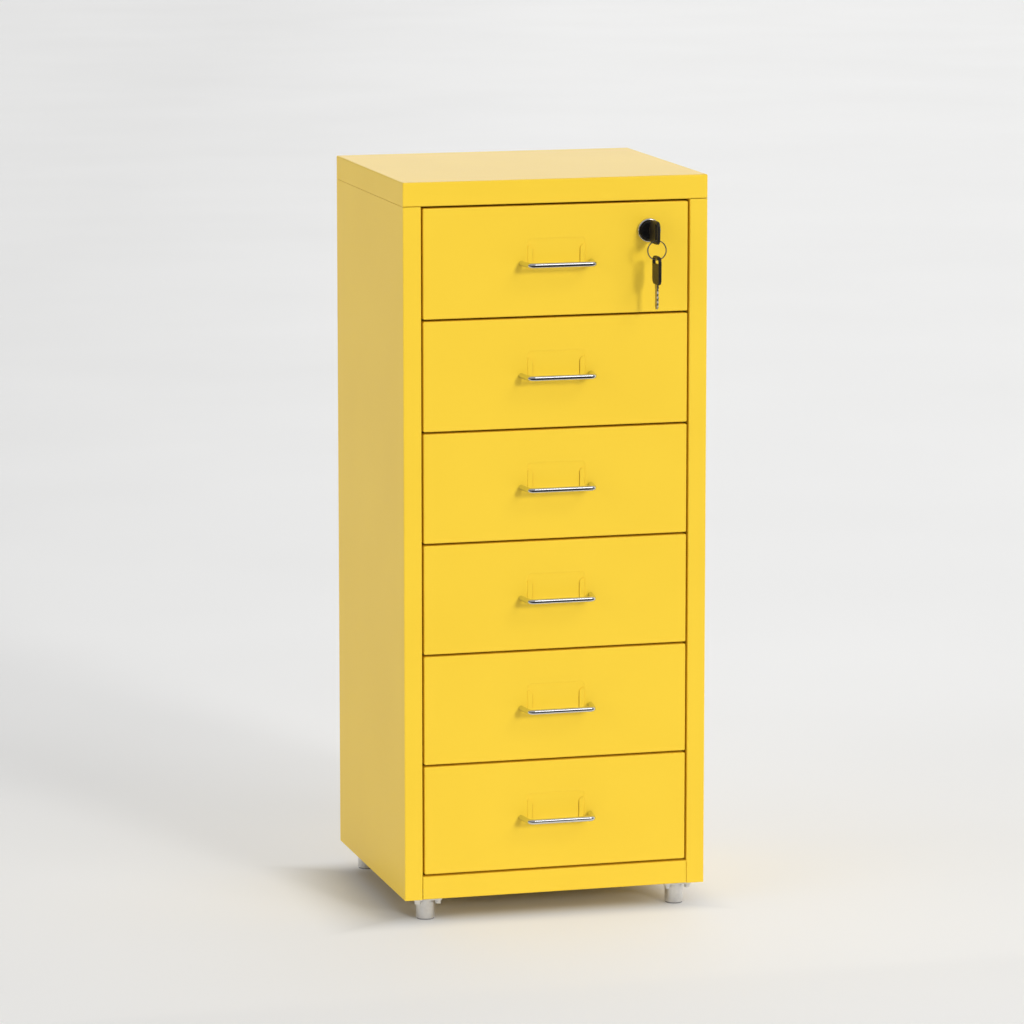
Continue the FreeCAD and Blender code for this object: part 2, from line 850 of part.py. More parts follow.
def key_blade_shape():
    """Flat blade along +Y from the shoulder at the origin, with cuts on both edges."""
    half = key_blade_width / 2
    thin = key_blade_thickness / 2
    cut_span = key_blade_length - key_shank_free - key_tip
    step = cut_span / key_cut_count
    upper = [(-key_tang_length, half), (key_shank_free, half)]
    for number in range(key_cut_count):
        start = key_shank_free + step * number
        upper.append((start + step / 4, half))
        upper.append((start + step / 2, half - key_cut_depth))
        upper.append((start + step * 3 / 4, half - key_cut_depth))
    upper.append((key_blade_length - key_tip, half))
    upper.append((key_blade_length, key_tip / 4))
    lower = [(along, -height) for along, height in reversed(upper)]
    spots = [V(-thin, along, height) for along, height in upper + lower]
    outline = Part.makePolygon(spots + [spots[0]])
    return Part.Face(outline).extrude(V(2 * thin, 0, 0))


def key_head_shape():
    """Plastic head along -Y from the shoulder at the origin, with its slot for the ring."""
    half = key_head_width / 2
    thin = key_head_thickness / 2
    head = box(-thin, thin, -key_head_length, 0, -half, half)
    head = rounded(head, key_head_corner, lambda middle: near(abs(middle.z), half)
                   and (near(middle.y, 0) or near(middle.y, -key_head_length)))
    slot_half = ring_slot_length / 2
    slot_y = -key_head_length + ring_slot_end
    slot = box(-thin - overrun, thin + overrun, slot_y, slot_y + ring_slot_width,
               -slot_half, slot_half)
    slot = rounded(slot, ring_slot_corner, lambda middle: near(abs(middle.z), slot_half)
                   and (near(middle.y, slot_y) or near(middle.y, slot_y + ring_slot_width)))
    head = head.cut(slot)
    head = rounded(head, key_head_edge, lambda middle: near(abs(middle.x), thin))
    tang_half = key_blade_width / 2
    tang_thin = key_blade_thickness / 2
    pocket = box(-tang_thin, tang_thin, -key_tang_length, overrun, -tang_half, tang_half)
    return head.cut(pocket)


def in_lock(shape):
    """A key piece moved into the lock."""
    return shape.translated(lock_place() - V(0, key_shoulder, 0))


def ring_rest_centre():
    """Centre of the key ring, hanging in the lower end of the key's slot."""
    inner_top = -ring_slot_length / 2 + ring_seat_gap
    return V(lock_x, front_y - ring_reach, lock_z + inner_top - ring_inner_radius)


def ring_turned_offset():
    """Ring centre beside the key, in the key's own frame, after a quarter turn of the lock."""
    sideways = ring_inner_radius - key_head_thickness / 2 - ring_seat_gap
    upwards = -(ring_slot_length + key_head_width) / 4
    return (sideways, upwards)


def ring_pivot():
    """The point that the ring turns about in the key's frame, so that it always hangs down."""
    rest = ring_rest_centre()
    rest_x, rest_z = rest.x - lock_x, rest.z - lock_z
    turned_x, turned_z = ring_turned_offset()
    pivot_x = (rest_x + turned_x - (turned_z - rest_z)) / 2
    pivot_z = (rest_z + turned_z + (turned_x - rest_x)) / 2
    return V(lock_x + pivot_x, rest.y, lock_z + pivot_z)


def key_ring():
    """Wire ring through both keys."""
    radius = ring_inner_radius + ring_wire_radius
    return Part.makeTorus(radius, ring_wire_radius, ring_rest_centre(), V(0, 1, 0))


def spare_pivot():
    """Middle of the ring's wire at its lowest point, where the spare key hangs."""
    return ring_rest_centre() - V(0, 0, ring_inner_radius + ring_wire_radius)


def hanging(shape):
    """A key piece turned blade down and hung on the ring."""
    turned = shape.copy()
    turned.rotate(V(0, 0, 0), V(1, 0, 0), -quarter_turn)
    slot_edge = key_head_length - ring_slot_end
    drop = slot_edge - ring_wire_radius - ring_seat_gap
    return turned.translated(spare_pivot() - V(0, 0, drop))


def build():
    """Every piece by name."""
    left_side = side_panel()
    runners = left_runners()
    pieces = {
        "left_side_panel": left_side,
        "right_side_panel": mirrored(left_side),
        "top_panel": top_panel(),
        "bottom_panel": bottom_panel(),
        "back_panel": back_panel(),
        "back_screws": back_screws(),
        "left_runners": runners,
        "right_runners": mirrored(runners),
        "lock_strike": strike(),
        "foot_nuts": foot_nuts(),
        "foot_screws": foot_screws(),
    }
    for x, y, name in foot_places():
        pieces["foot_" + name] = foot(x, y)
        pieces["foot_plate_" + name] = foot_plate(x, y)
        pieces["foot_pad_" + name] = foot_pad(x, y)
    for number in range(1, drawer_count + 1):
        drawer = "drawer_%d_" % number
        pieces[drawer + "front"] = drawer_front(number)
        pieces[drawer + "tray"] = drawer_tray(number)
        pieces[drawer + "handle"] = handle(number)
        pieces[drawer + "handle_screws"] = handle_screws(number)
    pieces["lock_barrel"] = lock_barrel()
    pieces["lock_nut"] = lock_nut()
    pieces["lock_plug"] = lock_plug()
    pieces["lock_cam"] = lock_cam()
    pieces["lock_cam_screw"] = cam_screw()
    pieces["key_blade"] = in_lock(key_blade_shape())
    pieces["key_head"] = in_lock(key_head_shape())
    pieces["key_ring"] = key_ring()
    pieces["spare_key_blade"] = hanging(key_blade_shape())
    pieces["spare_key_head"] = hanging(key_head_shape())
    return pieces


os.makedirs("parts", exist_ok=True)
for node, shape in build().items():
    shape.exportStep("parts/%s.step" % node)
    print("%-28s %2d solid(s) %10.1f mm3 valid %s"
          % (node, len(shape.Solids), shape.Volume, shape.isValid()))
print("drawers slide %.1f mm and the key %.1f mm" % (drawer_travel, key_pull_travel))
print("the lock turns %.0f degrees" % lock_turn_angle)
print("the spare key swings %.0f degrees in and %.0f out" % (spare_swing_in, spare_swing_out))
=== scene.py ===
# %% Load the CAD model
import json
import math

import bmesh
import bpy
from mathutils import Matrix, Vector


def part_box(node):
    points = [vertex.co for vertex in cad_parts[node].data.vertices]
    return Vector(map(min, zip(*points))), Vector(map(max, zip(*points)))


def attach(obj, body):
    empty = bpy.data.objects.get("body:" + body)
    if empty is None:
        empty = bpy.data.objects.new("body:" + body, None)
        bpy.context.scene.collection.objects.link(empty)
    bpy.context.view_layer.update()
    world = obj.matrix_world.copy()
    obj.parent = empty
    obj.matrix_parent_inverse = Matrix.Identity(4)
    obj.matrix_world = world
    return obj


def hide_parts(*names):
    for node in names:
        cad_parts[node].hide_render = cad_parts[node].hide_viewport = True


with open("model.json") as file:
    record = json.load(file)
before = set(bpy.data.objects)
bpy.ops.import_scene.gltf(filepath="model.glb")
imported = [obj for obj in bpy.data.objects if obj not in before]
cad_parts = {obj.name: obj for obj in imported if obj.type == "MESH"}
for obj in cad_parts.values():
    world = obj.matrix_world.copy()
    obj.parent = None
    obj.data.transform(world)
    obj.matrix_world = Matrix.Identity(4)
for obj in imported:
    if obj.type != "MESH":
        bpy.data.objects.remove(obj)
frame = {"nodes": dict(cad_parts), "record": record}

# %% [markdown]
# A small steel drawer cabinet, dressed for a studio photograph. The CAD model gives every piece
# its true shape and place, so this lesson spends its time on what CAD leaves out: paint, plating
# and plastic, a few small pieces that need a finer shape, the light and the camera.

digits = 3
scene = bpy.context.scene
nodes = frame["nodes"]
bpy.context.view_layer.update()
side_low, side_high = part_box("left_side_panel")
body_middle = Vector((0, (side_low.y + side_high.y) / 2, side_low.z))
print("pieces:", len(nodes))

# %% [markdown]
# The photograph was taken from a little left of the front and from above, with a long lens far
# away, so its upright edges stay nearly parallel. A camera that is aimed at a point by turning its
# own Z axis back along the line of sight needs no constraint, and it never rolls.

# %% Set up the camera
millimetre = 0.001
camera_yaw = math.radians(-15.31)
camera_pitch = math.radians(9.58)
camera_distance = 4859.6 * millimetre
aim_across = -6.3 * millimetre
aim_height = 327.1 * millimetre
picture_width = 1024
focal_pixels = 5309.8
sensor_width = 36

line_of_sight = Vector((
    math.sin(camera_yaw) * math.cos(camera_pitch),
    -math.cos(camera_yaw) * math.cos(camera_pitch),
    math.sin(camera_pitch),
))
aim = body_middle + Vector((
    aim_across * math.cos(camera_yaw),
    aim_across * math.sin(camera_yaw),
    aim_height,
))
lens = bpy.data.cameras.new("camera")
lens.sensor_width = sensor_width
lens.lens = focal_pixels / picture_width * sensor_width
camera = bpy.data.objects.new("camera", lens)
scene.collection.objects.link(camera)
camera.location = aim + line_of_sight * camera_distance
camera.rotation_euler = line_of_sight.to_track_quat("Z", "Y").to_euler()
scene.camera = camera
print("lens %.1f mm, camera at" % lens.lens, [round(value, digits) for value in camera.location])

# %% [markdown]
# Every finish starts from the same Principled shader. A helper makes the material and hands back
# its node tree, so each finish below only says what is special about it. Patterns read Object
# coordinates, which are real metres here, so each noise is asked for by the size of its spots.


# %% Helpers for materials
plain_detail = 2.0
fine_detail = 4.0
no_stretch = (1, 1, 1)
noise_low = 0.3
noise_high = 0.7
opaque = 1


class Finish:
    """A new material with its nodes within reach."""

    def __init__(self, name):
        self.material = bpy.data.materials.new(name)
        self.material.use_nodes = True
        self.nodes = self.material.node_tree.nodes
        self.links = self.material.node_tree.links
        self.shader = self.nodes["Principled BSDF"]
        self.place = self.nodes.new("ShaderNodeTexCoord").outputs["Object"]

    def set(self, **values):
        """Give constants to the shader's sockets, with underscores for spaces."""
        for name, value in values.items():
            self.shader.inputs[name.replace("_", " ")].default_value = value

    def noise(self, size, detail=plain_detail, stretch=no_stretch):
        """Cloudy spots of a real size in metres, drawn out along an axis by a stretch below 1."""
        mapping = self.nodes.new("ShaderNodeMapping")
        mapping.inputs["Scale"].default_value = stretch
        texture = self.nodes.new("ShaderNodeTexNoise")
        texture.inputs["Scale"].default_value = 1 / size
        texture.inputs["Detail"].default_value = detail
        self.links.new(self.place, mapping.inputs["Vector"])
        self.links.new(mapping.outputs["Vector"], texture.inputs["Vector"])
        return texture.outputs["Fac"]

    def remap(self, source, low=0, high=1, start=noise_low, end=noise_high, smooth=False):
        """Turn a pattern's values from start to end into values from low to high."""
        node = self.nodes.new("ShaderNodeMapRange")
        if smooth:
            node.interpolation_type = "SMOOTHSTEP"
        node.inputs["From Min"].default_value = start
        node.inputs["From Max"].default_value = end
        node.inputs["To Min"].default_value = low
        node.inputs["To Max"].default_value = high
        self.links.new(source, node.inputs["Value"])
        return node.outputs["Result"]

    def maths(self, operation, first, second):
        """Join two patterns by arithmetic."""
        node = self.nodes.new("ShaderNodeMath")
        node.operation = operation
        self.links.new(first, node.inputs[0])
        self.links.new(second, node.inputs[1])
        return node.outputs["Value"]

    def vector_maths(self, operation, vector, constant=None, result="Vector"):
        """Change a vector by itself or by a constant vector."""
        node = self.nodes.new("ShaderNodeVectorMath")
        node.operation = operation
        self.links.new(vector, node.inputs[0])
        if constant is not None:
            node.inputs[1].default_value = constant
        return node.outputs[result]

    def blend(self, share, first, second):
        """Mix two colours by a pattern."""
        node = self.nodes.new("ShaderNodeMix")
        node.data_type = "RGBA"
        node.inputs["A"].default_value = (*first, opaque)
        node.inputs["B"].default_value = (*second, opaque)
        self.links.new(share, node.inputs["Factor"])
        return node.outputs["Result"]

    def dim(self, colour, share):
        """Darken a colour by a pattern."""
        node = self.nodes.new("ShaderNodeVectorMath")
        node.operation = "SCALE"
        self.links.new(colour, node.inputs["Vector"])
        self.links.new(share, node.inputs["Scale"])
        return node.outputs["Vector"]

    def bump(self, height, strength, depth, below=None):
        """Small relief, laid over an earlier relief if one is given."""
        node = self.nodes.new("ShaderNodeBump")
        node.inputs["Strength"].default_value = strength
        node.inputs["Distance"].default_value = depth
        self.links.new(height, node.inputs["Height"])
        if below is not None:
            self.links.new(below, node.inputs["Normal"])
        return node.outputs["Normal"]

    def join(self, **sources):
        """Link patterns to the shader's sockets, with underscores for spaces."""
        for name, source in sources.items():
            self.links.new(source, self.shader.inputs[name.replace("_", " ")])


# %% [markdown]
# Powder coat is plastic dust melted on steel. Close up it has the slow ripple called orange peel,
# a finer grain in the gloss, and a colour that drifts a little where the coat is thicker. Ripple
# belongs in the bump, because real relief this small would need millions of faces.

# %% Yellow powder coat
paint_yellow = (0.93, 0.632, 0.040)
paint_deep = (0.905, 0.608, 0.036)
paint_shine = 0.36
paint_gloss = (0.36, 0.42)
drift_size = 140 * millimetre
peel_size = 2.4 * millimetre
peel_strength = 0.08
peel_depth = 0.5 * millimetre
paint_grain_size = 0.4 * millimetre
paint_grain_strength = 0.05
paint_grain_depth = 0.1 * millimetre


def make_powder_coat():
    finish = Finish("yellow_powder_coat")
    finish.set(Specular_IOR_Level=paint_shine)
    drift = finish.remap(finish.noise(drift_size))
    colour = finish.blend(drift, paint_yellow, paint_deep)
    grain = finish.noise(paint_grain_size)
    gloss = finish.remap(grain, *paint_gloss)
    peel = finish.bump(finish.noise(peel_size), peel_strength, peel_depth)
    relief = finish.bump(grain, paint_grain_strength, paint_grain_depth, peel)
    finish.join(Base_Color=colour, Roughness=gloss, Normal=relief)
    return finish.material


powder_coat = make_powder_coat()
print("made", powder_coat.name)

# %% [markdown]
# Chrome is nearly a mirror, so most of its look comes from what stands around it. Faint polishing
# marks along the wire break the mirror a little, which is what tells chrome from glass.

# %% Chrome
all_metal = 1
chrome_colour = (0.70, 0.71, 0.72)
chrome_worn = (0.64, 0.65, 0.67)
chrome_gloss = (0.06, 0.13)
chrome_cloud_size = 11 * millimetre
mark_size = 1.1 * millimetre
mark_stretch = (0.15, 1, 1)
mark_strength = 0.03
mark_depth = 0.05 * millimetre


def make_chrome():
    finish = Finish("bright_chrome")
    finish.set(Metallic=all_metal)
    cloud = finish.remap(finish.noise(chrome_cloud_size))
    colour = finish.blend(cloud, chrome_colour, chrome_worn)
    marks = finish.noise(mark_size, fine_detail, mark_stretch)
    gloss = finish.remap(marks, *chrome_gloss)
    relief = finish.bump(marks, mark_strength, mark_depth)
    finish.join(Base_Color=colour, Roughness=gloss, Normal=relief)
    return finish.material


chrome = make_chrome()
print("made", chrome.name)

# %% [markdown]
# Zinc plate on turned steel is brighter than bare steel and a little cloudy. The lathe leaves
# rings round a turned foot, so the pattern is squeezed along Z, which draws each spot out into a
# ring.

# %% Zinc plate
zinc_light = (0.88, 0.87, 0.85)
zinc_dark = (0.74, 0.73, 0.72)
zinc_gloss = (0.34, 0.48)
zinc_cloud_size = 6 * millimetre
ring_size = 14 * millimetre
ring_stretch = (1, 1, 40)
ring_strength = 0.12
ring_depth = 0.1 * millimetre


def make_zinc():
    finish = Finish("turned_zinc_plate")
    finish.set(Metallic=all_metal)
    cloud = finish.remap(finish.noise(zinc_cloud_size, fine_detail))
    colour = finish.blend(cloud, zinc_light, zinc_dark)
    rings = finish.noise(ring_size, stretch=ring_stretch)
    gloss = finish.remap(rings, *zinc_gloss)
    relief = finish.bump(rings, ring_strength, ring_depth)
    finish.join(Base_Color=colour, Roughness=gloss, Normal=relief)
    return finish.material


zinc = make_zinc()
print("made", zinc.name)

# %% [markdown]
# The runners are cut from galvanised strip, whose zinc froze into flat crystals. A Voronoi
# pattern gives each crystal its own grey and its own gloss.

# %% Galvanised strip
crystal_size = 5.5 * millimetre
crystal_gloss = (0.34, 0.50)
strip_grain_size = 0.7 * millimetre
strip_grain_strength = 0.06
strip_grain_depth = 0.1 * millimetre


def make_galvanised():
    finish = Finish("galvanised_strip")
    finish.set(Metallic=all_metal)
    crystals = finish.nodes.new("ShaderNodeTexVoronoi")
    crystals.inputs["Scale"].default_value = 1 / crystal_size
    finish.links.new(finish.place, crystals.inputs["Vector"])
    grey = finish.nodes.new("ShaderNodeRGBToBW")
    finish.links.new(crystals.outputs["Color"], grey.inputs["Color"])
    share = grey.outputs["Val"]
    colour = finish.blend(share, zinc_dark, zinc_light)
    gloss = finish.remap(share, *crystal_gloss, start=0, end=1)
    grain = finish.noise(strip_grain_size, fine_detail)
    relief = finish.bump(grain, strip_grain_strength, strip_grain_depth)
    finish.join(Base_Color=colour, Roughness=gloss, Normal=relief)
    return finish.material


galvanised = make_galvanised()
print("made", galvanised.name)

# %% [markdown]
# Keys are stamped from nickel-plated steel, and drawing them in and out of a lock scores them
# lengthways. Two noises, one long and one fine, give the scoring and the haze between.

# %% Nickel plate
nickel_light = (0.50, 0.47, 0.41)
nickel_dark = (0.42, 0.39, 0.34)
nickel_gloss = (0.40, 0.52)
haze_size = 2.5 * millimetre
score_size = 0.6 * millimetre
score_stretch = (1, 0.4, 0.4)
score_strength = 0.10
score_depth = 0.08 * millimetre


def make_nickel():
    finish = Finish("nickel_plate")
    finish.set(Metallic=all_metal)
    haze = finish.remap(finish.noise(haze_size, fine_detail))
    colour = finish.blend(haze, nickel_light, nickel_dark)
    score = finish.noise(score_size, fine_detail, score_stretch)
    gloss = finish.remap(score, *nickel_gloss)
    relief = finish.bump(score, score_strength, score_depth)
    finish.join(Base_Color=colour, Roughness=gloss, Normal=relief)
    return finish.material


nickel = make_nickel()
print("made", nickel.name)

# %% [markdown]
# The key heads are moulded black plastic. A mould gives them a fine even texture and handling
# polishes it in patches, so the gloss follows a slow noise and the relief a fast one.

# %% Black plastic
plastic_black = (0.013, 0.012, 0.011)
plastic_rubbed = (0.021, 0.019, 0.016)
plastic_gloss = (0.30, 0.44)
plastic_shine = 0.25
rub_size = 4.5 * millimetre
mould_size = 0.3 * millimetre
mould_strength = 0.15
mould_depth = 0.05 * millimetre


def make_black_plastic():
    finish = Finish("moulded_black_plastic")
    finish.set(Specular_IOR_Level=plastic_shine)
    rub = finish.noise(rub_size)
    colour = finish.blend(finish.remap(rub), plastic_black, plastic_rubbed)
    gloss = finish.remap(rub, *plastic_gloss)
    relief = finish.bump(finish.noise(mould_size), mould_strength, mould_depth)
    finish.join(Base_Color=colour, Roughness=gloss, Normal=relief)
    return finish.material


black_plastic = make_black_plastic()
print("made", black_plastic.name)

# %% [markdown]
# The lock's plug is die-cast and blackened: nearly as dark as the plastic, with a metal glint where
# keys have touched it. A metal share below one keeps some of its gloss grey instead of tinted.

# %% Blackened metal
plug_black = (0.022, 0.021, 0.020)
plug_worn = (0.075, 0.070, 0.065)
plug_metal_share = 0.6
plug_gloss = (0.26, 0.42)
wear_size = 2 * millimetre
wear_start = 0.55
wear_end = 0.80
cast_size = 0.4 * millimetre
cast_strength = 0.12
cast_depth = 0.06 * millimetre


def make_blackened():
    finish = Finish("blackened_casting")
    finish.set(Metallic=plug_metal_share)
    wear = finish.noise(wear_size, fine_detail)
    worn = finish.remap(wear, start=wear_start, end=wear_end)
    colour = finish.blend(worn, plug_black, plug_worn)
    gloss = finish.remap(wear, *plug_gloss)
    relief = finish.bump(finish.noise(cast_size), cast_strength, cast_depth)
    finish.join(Base_Color=colour, Roughness=gloss, Normal=relief)
    return finish.material


blackened = make_blackened()
print("made", blackened.name)

# %% [markdown]
# The pads under the feet are plain moulded plastic, matt and slightly dusty.

# %% Grey pad plastic
pad_grey = (0.20, 0.20, 0.20)
pad_dust = (0.30, 0.29, 0.28)
pad_gloss = (0.55, 0.75)
dust_size = 3 * millimetre
pad_grain_size = 0.55 * millimetre
pad_grain_strength = 0.15
pad_grain_depth = 0.1 * millimetre


def make_pad_plastic():
    finish = Finish("grey_pad_plastic")
    dust = finish.noise(dust_size, fine_detail)
    colour = finish.blend(finish.remap(dust), pad_grey, pad_dust)
    gloss = finish.remap(dust, *pad_gloss)
    relief = finish.bump(finish.noise(pad_grain_size), pad_grain_strength, pad_grain_depth)
    finish.join(Base_Color=colour, Roughness=gloss, Normal=relief)
    return finish.material


pad_plastic = make_pad_plastic()
print("made", pad_plastic.name)

# %% [markdown]
# The record says which material slot each CAD piece belongs to, so the finishes are dealt out by
# slot. Only the runners differ from their slot: they are galvanised strip and not turned steel.

# %% Dress the CAD pieces
finish_of_slot = {
    "powder_coat": powder_coat,
    "zinc_steel": zinc,
    "chrome": chrome,
    "dark_plug": blackened,
    "black_plastic": black_plastic,
    "nickel": nickel,
    "pad_plastic": pad_plastic,
}
finish_of_node = {"left_runners": galvanised, "right_runners": galvanised}


def dress(piece, material):
    """Give a piece one material and nothing else."""
    piece.data.materials.clear()
    piece.data.materials.append(material)


for subpart in frame["record"]["subparts"]:
    name = subpart["node"]
    dress(nodes[name], finish_of_node.get(name, finish_of_slot[subpart["material_slot"]]))
print("dressed", len(nodes), "CAD pieces")

# %% [markdown]
# A split ring is one wire that goes round twice, its turns lying side by side. The CAD model has
# one closed ring in that space. A spin with a little travel along its axis draws the real thing:
# the wire's section goes round twice and ends beside its own start.

# %% Key ring
ring_low, ring_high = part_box("key_ring")
ring_centre = (ring_low + ring_high) / 2
wire_width = ring_high.y - ring_low.y
ring_radius = (ring_high.x - ring_low.x) / 2 - wire_width / 2
wire_points = 12
ring_steps = 160
ring_turns = 2
ring_axis = (0, 1, 0)
wire_share = 0.48
quarter_turn = math.radians(90)
matrix_size = 4
weld_distance = 0.001 * millimetre


def link_mesh(name, mesh, material):
    """Turn a bmesh into an object with one material."""
    data = bpy.data.meshes.new(name)
    mesh.to_mesh(data)
    mesh.free()
    made = bpy.data.objects.new(name, data)
    scene.collection.objects.link(made)
    dress(made, material)
    return made


def link_piece(name, mesh, material, body):
    """Finish a bmesh as a smooth piece that rides on a CAD body."""
    bmesh.ops.remove_doubles(mesh, verts=mesh.verts, dist=weld_distance)
    bmesh.ops.recalc_face_normals(mesh, faces=mesh.faces)
    piece = link_mesh(name, mesh, material)
    piece.data.shade_smooth()
    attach(piece, body)
    return piece


def make_split_ring():
    """Two turns of half-thick wire, side by side."""
    mesh = bmesh.new()
    section = bmesh.ops.create_circle(
        mesh, cap_ends=False, segments=wire_points, radius=wire_width / 2)
    flatten = Matrix.Diagonal((1, wire_share, 1, 1))
    stand = Matrix.Rotation(quarter_turn, matrix_size, "X")
    start = ring_centre + Vector((ring_radius, -wire_width * wire_share / 2, 0))
    lay = Matrix.Translation(start) @ flatten @ stand
    bmesh.ops.transform(mesh, matrix=lay, verts=section["verts"])
    travel = wire_width * wire_share / ring_steps
    bmesh.ops.spin(
        mesh, geom=section["verts"] + mesh.edges[:], cent=ring_centre, axis=ring_axis,
        dvec=(0, travel, 0), angle=math.tau * ring_turns, steps=ring_steps,
        use_duplicate=False)
    ends = [edge for edge in mesh.edges if edge.is_boundary]
    bmesh.ops.holes_fill(mesh, edges=ends)
    return link_piece("split_ring", mesh, nickel, "key_ring_body")


split_ring = make_split_ring()
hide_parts("key_ring")
print("split ring has", len(split_ring.data.vertices), "points")

# %% [markdown]
# A studio floor here is one very large disc, because the camera looks down and never meets its
# edge. The floor glows a little everywhere, which keeps the background even all the way to the
# horizon. Under the cabinet the glow fades out from the outline inwards, reaching a short way past
# it: this is painted shade, the darkening of the floor where the cabinet shades it. A point's
# distance from the middle, less half the cabinet's width or depth, says how far outside it lies.

# %% The glow of the floor and its painted shade
white = (1, 1, 1, opaque)
glow = 0.315
# Painted shade: the glow fades out under the cabinet and a short way past its outline, centred a
# little to the left and the front of it.
painted_shade_offset = Vector((-25 * millimetre, -10 * millimetre, 0))
half_width = -side_low.x
half_depth = (side_high.y - side_low.y) / 2
side_painted_shade_start = -40 * millimetre
side_painted_shade_end = 60 * millimetre
front_painted_shade_start = -45 * millimetre
front_painted_shade_end = 18 * millimetre


def glow_with_painted_shade_under(finish, centred):
    """Full glow outside the cabinet's outline, and painted shade under it where the glow fades out.
    """
    reach = finish.vector_maths("ABSOLUTE", centred)
    past = finish.vector_maths("SUBTRACT", reach, (half_width, half_depth, 0))
    split = finish.nodes.new("ShaderNodeSeparateXYZ")
    finish.links.new(past, split.inputs["Vector"])
    past_side = finish.remap(
        split.outputs["X"], 0, glow, side_painted_shade_start, side_painted_shade_end, smooth=True)
    past_front = finish.remap(
        split.outputs["Y"], 0, glow, front_painted_shade_start, front_painted_shade_end, smooth=True)
    return finish.maths("MAXIMUM", past_side, past_front)


print("the floor glows", glow, "outside", [round(half_width, digits), round(half_depth, digits)], "m")

# %% [markdown]
# The floor itself is matt, with slight clouds and a fine grain that keep it from looking computed.
# One drift, read along the camera's own left and right, dims its colour and its glow together:
# painted shade that makes the floor darker towards the left, as if less light fell there.

# %% Floor
floor_radius = 60
floor_sides = 96
floor_light = (0.64, 0.64, 0.638)
floor_shade = (0.61, 0.61, 0.607)
floor_roughness = 0.75
floor_shine = 0.2
cloud_size = 0.6
floor_grain_size = 3 * millimetre
floor_grain_depth = 0.4 * millimetre
floor_grain_strength = 0.02
painted_shade_left = 0.90
painted_shade_right = 1.0
painted_shade_from = -0.8
painted_shade_to = 0.15
across = Vector((math.cos(camera_yaw), math.sin(camera_yaw), 0))


def make_floor_material():
    """A matt floor that glows, with painted shade under the cabinet and towards the left."""
    finish = Finish("studio_floor")
    finish.set(Roughness=floor_roughness, Specular_IOR_Level=floor_shine, Emission_Color=white)
    centred = finish.vector_maths("SUBTRACT", finish.place, body_middle + painted_shade_offset)
    sideways = finish.vector_maths("DOT_PRODUCT", centred, across, "Value")
    # Painted shade: the drift darkens the floor's colour and its glow towards the left.
    drift = finish.remap(sideways, painted_shade_left, painted_shade_right, painted_shade_from, painted_shade_to)
    strength = finish.maths("MULTIPLY", glow_with_painted_shade_under(finish, centred), drift)
    cloud = finish.remap(finish.noise(cloud_size))
    colour = finish.dim(finish.blend(cloud, floor_light, floor_shade), drift)
    grain = finish.noise(floor_grain_size)
    relief = finish.bump(grain, floor_grain_strength, floor_grain_depth)
    finish.join(Base_Color=colour, Emission_Strength=strength, Normal=relief)
    return finish.material


def make_floor():
    mesh = bmesh.new()
    bmesh.ops.create_circle(mesh, cap_ends=True, segments=floor_sides, radius=floor_radius)
    disc = link_mesh("floor", mesh, make_floor_material())
    return disc


floor = make_floor()
print(floor.name, "radius", floor_radius, "m")

# %% [markdown]
# The surroundings light a scene from every side, and polished metal shows them. The paint and the
# chrome in the photograph suggest a room that is bright behind the cabinet and to its right, dimmer
# at the ceiling, and darkest at the back left and where the camera stands. The world shader gets
# such zones from the direction in which a ray leaves: X tells left from right, Y front from back,
# and Z the horizon from the ceiling.
# A low camera looks past the floor's far edge, and what it sees there itself is a pale backdrop,
# as even as the floor.

# %% Surroundings
scene.view_settings.view_transform = "Standard"
horizon_front = 0.22
horizon_back_left = 0.15
horizon_back_right = 1.70
back_left_end = -0.35
back_right_start = 0.15
horizon_turn = 0.6
ceiling = 0.49
ceiling_start = 0.25
ceiling_full = 0.75
backdrop = 0.78

world = bpy.data.worlds.new("studio")
scene.world = world
world.use_nodes = True
world_nodes = world.node_tree.nodes
world_links = world.node_tree.links
ray_way = world_nodes.new("ShaderNodeTexCoord").outputs["Object"]
direction = world_nodes.new("ShaderNodeSeparateXYZ")
world_links.new(ray_way, direction.inputs["Vector"])
camera_ray = world_nodes.new("ShaderNodeLightPath").outputs["Is Camera Ray"]


def zone(value, start, end, low, high):
    """Go from one brightness to another while a value goes from start to end."""
    node = world_nodes.new("ShaderNodeMapRange")
    node.interpolation_type = "SMOOTHSTEP"
    node.inputs["From Min"].default_value = start
    node.inputs["From Max"].default_value = end
    for name, brightness in (("To Min", low), ("To Max", high)):
        if isinstance(brightness, bpy.types.NodeSocket):
            world_links.new(brightness, node.inputs[name])
        else:
            node.inputs[name].default_value = brightness
    world_links.new(value, node.inputs["Value"])
    return node.outputs["Result"]


to_right, to_back, to_ceiling = direction.outputs
behind = zone(to_right, back_left_end, back_right_start, horizon_back_left, horizon_back_right)
horizon = zone(to_back, -horizon_turn, horizon_turn, horizon_front, behind)
everywhere = zone(to_ceiling, ceiling_start, ceiling_full, horizon, ceiling)
seen = zone(camera_ray, 0, 1, everywhere, backdrop)
background = world_nodes["Background"]
background.inputs["Color"].default_value = white
world_links.new(seen, background.inputs["Strength"])
print("surroundings from", horizon_front, "in front to", horizon_back_right, "behind")

# %% [markdown]
# Two soft lights stand to the right of the camera. The high one casts the pale shadow on the floor
# to the left, and the low one fills the drawer fronts and throws the spare key's shadow beside it.
# A third one, very soft, fills the cabinet's side from the left. Sun lamps suit a floor this wide,
# because their light doesn't fall off with distance, and their angle sets how soft the shadows are.
# The low light and the side light are kept out of reflections, where they would only show as spots
# on the chrome and the paint.

# %% Lights
high_light_angles = (33, 36)
high_light_power = 0.55
high_light_spread = 26
low_light_angles = (19, 17)
low_light_power = 1.18
low_light_spread = 10
side_light_angles = (-75, 12)
side_light_power = 1.05
side_light_spread = 60
warm_white = (1.0, 0.992, 0.975)


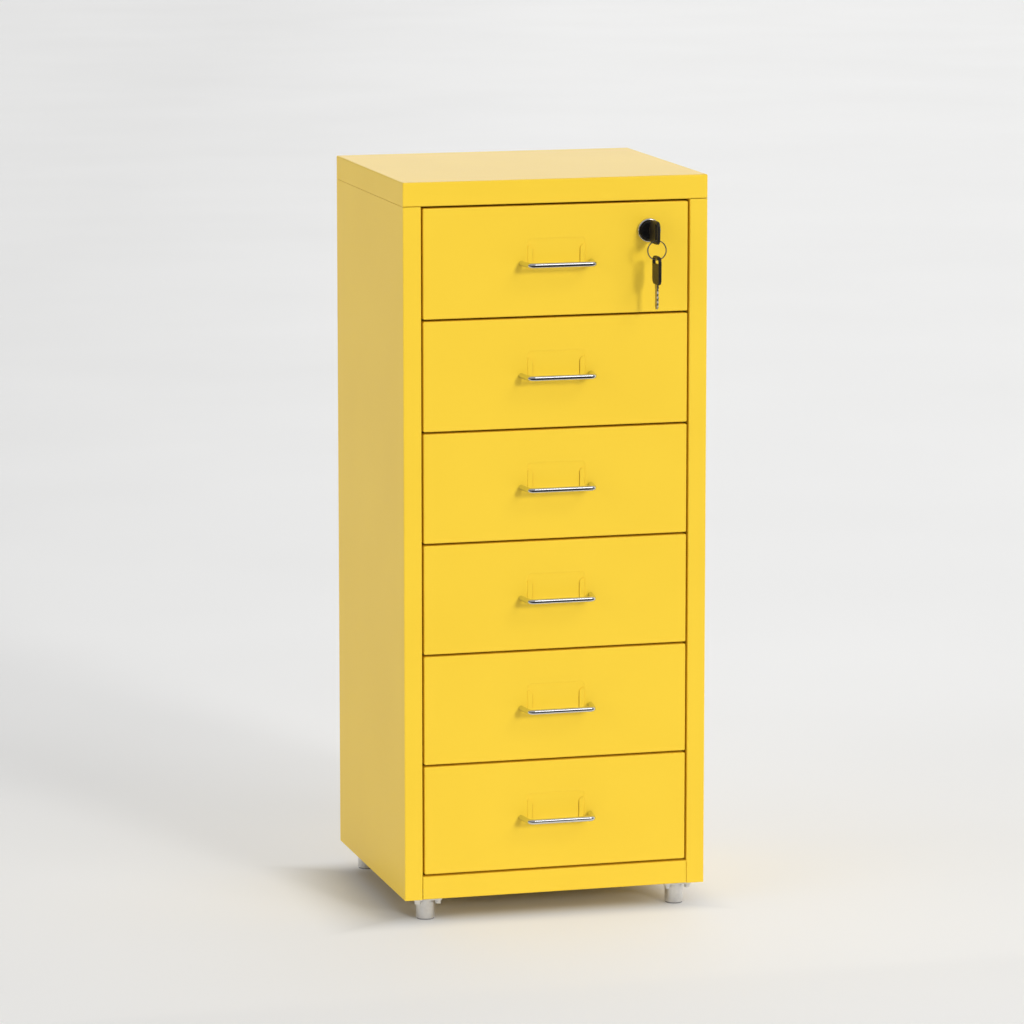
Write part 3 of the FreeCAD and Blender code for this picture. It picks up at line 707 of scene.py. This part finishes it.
def soft_sun(name, angles, power, spread):
    """A distant soft light, placed by degrees to the right of the front and above the floor."""
    azimuth, elevation = (math.radians(angle) for angle in angles)
    towards = Vector((
        math.sin(azimuth) * math.cos(elevation),
        -math.cos(azimuth) * math.cos(elevation),
        math.sin(elevation),
    ))
    light = bpy.data.lights.new(name, "SUN")
    light.energy = power
    light.angle = math.radians(spread)
    light.color = warm_white
    lamp = bpy.data.objects.new(name, light)
    scene.collection.objects.link(lamp)
    lamp.location = aim + towards
    lamp.rotation_euler = towards.to_track_quat("Z", "Y").to_euler()
    return lamp


high_light = soft_sun("high_light", high_light_angles, high_light_power, high_light_spread)
low_light = soft_sun("low_light", low_light_angles, low_light_power, low_light_spread)
side_light = soft_sun("side_light", side_light_angles, side_light_power, side_light_spread)
for lamp in (low_light, side_light):
    lamp.visible_glossy = False
print("lights:", high_light.name, low_light.name, side_light.name)

# %% [markdown]
# Each handle's chrome shows a thin dark line along it. That line is a painted reflection: a black
# card that only reflections can see. It lies in front of the cabinet and bends up behind the
# camera: a flat grid, whose far edge is extruded upwards.

# %% Dark card for the chrome's painted reflection
card_start = 0.25
card_length = 8
card_half_width = 6
card_rise = 1.7
card_lift = 2 * millimetre
# The card's black is seen only as a painted reflection in the chrome.
card_black = (0.01, 0.01, 0.012, opaque)
card_roughness = 0.9
card_middle = side_low.y - card_start - card_length / 2


def make_card_mesh():
    """A card on the floor whose far edge turns up."""
    mesh = bmesh.new()
    bmesh.ops.create_grid(mesh, x_segments=1, y_segments=1, size=card_half_width)
    bmesh.ops.scale(mesh, vec=(1, card_length / 2 / card_half_width, 1), verts=mesh.verts)
    bmesh.ops.translate(mesh, vec=(0, card_middle, card_lift), verts=mesh.verts)
    far_edge = [edge for edge in mesh.edges if all(end.co.y < card_middle for end in edge.verts)]
    wall = bmesh.ops.extrude_edge_only(mesh, edges=far_edge)["geom"]
    raised = [item for item in wall if isinstance(item, bmesh.types.BMVert)]
    bmesh.ops.translate(mesh, vec=(0, 0, card_rise), verts=raised)
    return mesh


def make_dark_card():
    finish = Finish("dark_card")
    finish.set(Base_Color=card_black, Roughness=card_roughness)
    card = link_mesh("dark_card", make_card_mesh(), finish.material)
    card.visible_camera = False
    card.visible_diffuse = False
    card.visible_transmission = False
    card.visible_shadow = False
    return card


dark_card = make_dark_card()
print(dark_card.name, card_length, "m long and", card_rise, "m high behind the camera")
